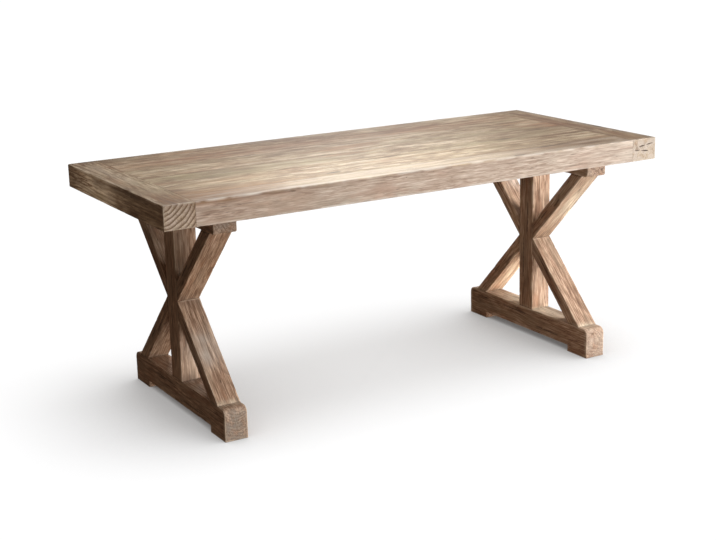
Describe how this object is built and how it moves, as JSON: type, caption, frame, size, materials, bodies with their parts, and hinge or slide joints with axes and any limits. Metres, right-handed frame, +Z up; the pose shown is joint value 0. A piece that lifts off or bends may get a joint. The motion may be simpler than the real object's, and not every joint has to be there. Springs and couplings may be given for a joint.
{
  "type": "sawbuck table",
  "caption": "Rectangular dining table with a thick framed plank top on two X-braced trestles, each with a post, diagonal braces, a bearer and a relieved foot, in weathered wood.",
  "frame": {"origin": "on the floor, under the middle of the top", "axes": "+X along the table's length, +Y from the front to the back, +Z up"},
  "size_m": [1.81, 0.785, 0.76],
  "materials": {
    "top_wood": "weathered, waxed",
    "trestle_wood": "weathered, dry",
    "batten_wood": "sawn, unfinished",
    "fixing_wood": "plain hardwood",
    "zinc_steel": "zinc plated"
  },
  "bodies": {
    "root": {"end_board_left": "top_wood", "end_board_right": "top_wood", "front_rail": "top_wood", "back_rail": "top_wood", "top_plank_1": "top_wood", "top_plank_2": "top_wood", "top_plank_3": "top_wood", "top_plank_4": "top_wood", "foot_left": "trestle_wood", "post_left": "trestle_wood", "bearer_left": "trestle_wood", "brace_lower_front_left": "trestle_wood", "brace_lower_back_left": "trestle_wood", "brace_upper_front_left": "trestle_wood", "brace_upper_back_left": "trestle_wood", "foot_right": "trestle_wood", "post_right": "trestle_wood", "bearer_right": "trestle_wood", "brace_lower_front_right": "trestle_wood", "brace_lower_back_right": "trestle_wood", "brace_upper_front_right": "trestle_wood", "brace_upper_back_right": "trestle_wood", "batten_outer_left": "batten_wood", "batten_inner_left": "batten_wood", "batten_inner_right": "batten_wood", "batten_outer_right": "batten_wood", "plank_splines": "fixing_wood", "tenon_pegs": "fixing_wood", "brace_dowels_left": "fixing_wood", "brace_dowels_right": "fixing_wood", "batten_screws": "zinc_steel", "bearer_bolts_left": "zinc_steel", "bearer_washers_left": "zinc_steel", "bearer_inserts_left": "zinc_steel", "bearer_bolts_right": "zinc_steel", "bearer_washers_right": "zinc_steel", "bearer_inserts_right": "zinc_steel"}
  },
  "joints": []
}
